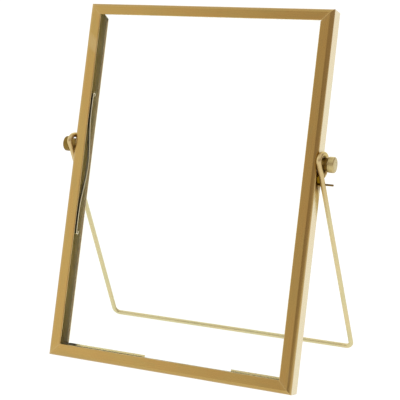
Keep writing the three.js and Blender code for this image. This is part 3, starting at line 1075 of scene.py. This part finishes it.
# %% Mix the wire's brass
drawn_brass = worked_brass(
    "drawn_brass",
    clean=(0.66, 0.59, 0.33),
    warm=(0.68, 0.57, 0.31),
    olive=(0.58, 0.54, 0.29),
    worn=(0.80, 0.74, 0.50),
    rough=(0.32, 0.44),
    lines=(30.0, 0.35),
    line_depth=0.004,
    # Both are painted shade on the wire by the screws, the second round the left eye.
    painted_shades=(
        dict(places=(0.0, wire_places[-1]), full=38.0, gone=62.0, shade_colour=(0.60, 0.45, 0.22)),
        dict(places=(0.0,), full=14.0, gone=19.0, shade_colour=(0.27, 0.18, 0.06)),
    ),
)
print("brass made for the wire")

# %% Make the wire
WIRE_SIDES = 40
WIRE_LAYER = 500.0

circle = arc((0.0, 0.0), WIRE_RADIUS, 0, 360, WIRE_SIDES)[:-1]
points, faces = loft(carry(middle_line, ACROSS, circle, sizes))
side_width = 2 * math.pi * WIRE_RADIUS / WIRE_SIDES
grain = [(d, k * side_width, WIRE_LAYER) for d in wire_places for k in range(WIRE_SIDES)]
stand = make_piece("wire_stand_bent", points, faces, grain, drawn_brass, "stand")
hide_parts("wire_stand")
print(f"wire stand: {wire_places[-1]:.0f} mm of wire, {len(faces)} faces")

# %% [markdown]
# ## Floor, light and camera
#
# Small polished things are shown on a white light table with soft light all round. Lamps would put
# hard spots on the brass, so the light is the world itself: a dim, warm room with four large soft
# boxes, overhead, on the left, low behind and a faint one on the right, each a patch of directions
# that fades at its edge. The brass is as bright as what it reflects, and the boxes are placed to
# grade the front of the frame from left to right. The floor glows, so that almost no shadow shows
# on it.
#
# Two settings hold for the whole scene. The Standard view keeps the floor white, which the usual
# view would turn grey. Mirror reflections aren't blurred where they are seen through glass, because
# that would darken the brass behind the panes.

# %% Lay the floor
FLOOR_HALF = 10.0
FLOOR_GLOW = 1.02

floor_material, floor_tree, floor_shader = new_material("white_floor")
floor_shader.inputs["Base Color"].default_value = (0.08, 0.08, 0.08, 1.0)
floor_shader.inputs["Emission Color"].default_value = (1.0, 1.0, 1.0, 1.0)
floor_shader.inputs["Emission Strength"].default_value = FLOOR_GLOW
floor_shader.inputs["Roughness"].default_value = 0.9
floor_shader.inputs["Specular IOR Level"].default_value = 0.0
corner_signs = ((-1, -1), (1, -1), (1, 1), (-1, 1))
floor_corners = [(x * FLOOR_HALF, y * FLOOR_HALF, 0.0) for x, y in corner_signs]
floor_mesh = bpy.data.meshes.new("floor")
floor_mesh.from_pydata(floor_corners, [], [(0, 1, 2, 3)])
floor_mesh.materials.append(floor_material)
floor = bpy.data.objects.new("floor", floor_mesh)
bpy.context.scene.collection.objects.link(floor)
print(f"white floor, {2 * FLOOR_HALF:.0f} m square")

# %% Light the room
ROOM_LIGHT = 0.32
ROOM_COLOUR = (1.03, 0.82, 0.78)
BOX_COLOUR = (1.0, 1.0, 0.98)
SOFT_BOXES = {
    "overhead": dict(towards=(0.0, 0.0, 1.0), fades_in=0.45, full=0.80, strength=0.60),
    "left": dict(towards=(-0.95, -0.25, -0.1), fades_in=0.40, full=0.70, strength=0.79),
    "right": dict(towards=(0.95, -0.3, 0.0), fades_in=0.30, full=0.80, strength=0.16),
    "behind": dict(towards=(-0.3, 0.95, 0.15), fades_in=0.60, full=0.90, strength=0.9),
}

world = bpy.data.worlds.new("studio")
world.use_nodes = True
bpy.context.scene.world = world
tree = world.node_tree
directions = tree.nodes.new("ShaderNodeTexCoord").outputs["Generated"]


def soft_box(light_so_far, towards, fades_in, full, strength):
    """Add a patch of light. It fades in and is full at these cosines of the angle to its middle."""
    facing = tree.nodes.new("ShaderNodeVectorMath")
    facing.operation = "DOT_PRODUCT"
    facing.inputs[1].default_value = Vector(towards).normalized()
    tree.links.new(directions, facing.inputs[0])
    glow = remap(tree, facing.outputs["Value"], fades_in, full, 0.0, strength)
    total = tree.nodes.new("ShaderNodeMath")
    total.operation = "ADD"
    tree.links.new(glow, total.inputs[0])
    if isinstance(light_so_far, float):
        total.inputs[1].default_value = light_so_far
    else:
        tree.links.new(light_so_far, total.inputs[1])
    return total.outputs[0]


light = ROOM_LIGHT
for box in SOFT_BOXES.values():
    light = soft_box(light, **box)
background = tree.nodes["Background"]
brightness = remap(tree, light, ROOM_LIGHT, 1.0, 0.0, 1.0)
tree.links.new(blend_colours(tree, brightness, ROOM_COLOUR, BOX_COLOUR), background.inputs["Color"])
tree.links.new(light, background.inputs["Strength"])
print("room light", ROOM_LIGHT, "with soft boxes:", ", ".join(SOFT_BOXES))

# %% Show the light as it is
bpy.context.scene.view_settings.view_transform = "Standard"
bpy.context.scene.cycles.blur_glossy = 0.0
print("view:", bpy.context.scene.view_settings.view_transform)

# %% Set up the camera
CAMERA_PLACE = Vector((233.66, -504.91, 204.76)) * MM
CAMERA_TURN = 24.74
CAMERA_DIP = 12.545
CAMERA_LENS = 102.15

camera_data = bpy.data.cameras.new("camera")
camera_data.lens = CAMERA_LENS
camera_data.sensor_width = 36.0
camera_data.clip_start, camera_data.clip_end = 0.01, 100.0
camera = bpy.data.objects.new("camera", camera_data)
camera.location = CAMERA_PLACE
camera.rotation_euler = (math.radians(90 - CAMERA_DIP), 0.0, math.radians(CAMERA_TURN))
bpy.context.scene.collection.objects.link(camera)
bpy.context.scene.camera = camera
print(f"camera {CAMERA_PLACE.length / MM:.0f} mm away, {CAMERA_LENS:.0f} mm lens")
